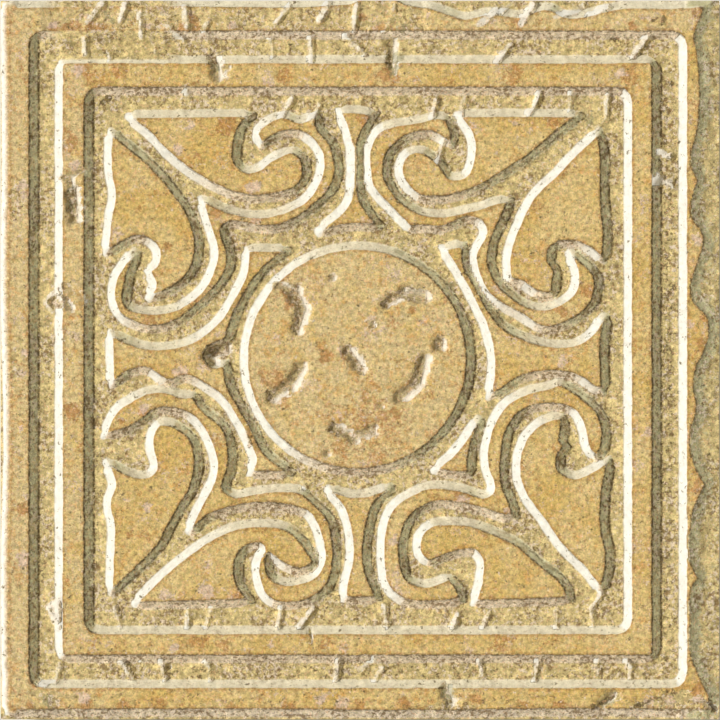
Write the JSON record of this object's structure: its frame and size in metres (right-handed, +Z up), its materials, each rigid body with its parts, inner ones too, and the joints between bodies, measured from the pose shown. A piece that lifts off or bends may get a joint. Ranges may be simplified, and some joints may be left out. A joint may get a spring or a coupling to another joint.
{
  "type": "cement tile",
  "caption": "Square hand-carved cement floor tile: a plain disc in a ring, curling scrolls in the corners and a double channelled frame, with worn, chipped edges.",
  "frame": {"origin": "middle of the square underside, which lies on the floor", "axes": "+Z up out of the decorated face, +Y towards the tile's top edge as seen from above, +X towards its right edge"},
  "size_m": [0.2, 0.2, 0.016],
  "materials": {
    "cement": "matte"
  },
  "bodies": {
    "root": {"cement_tile": "cement"}
  },
  "joints": []
}
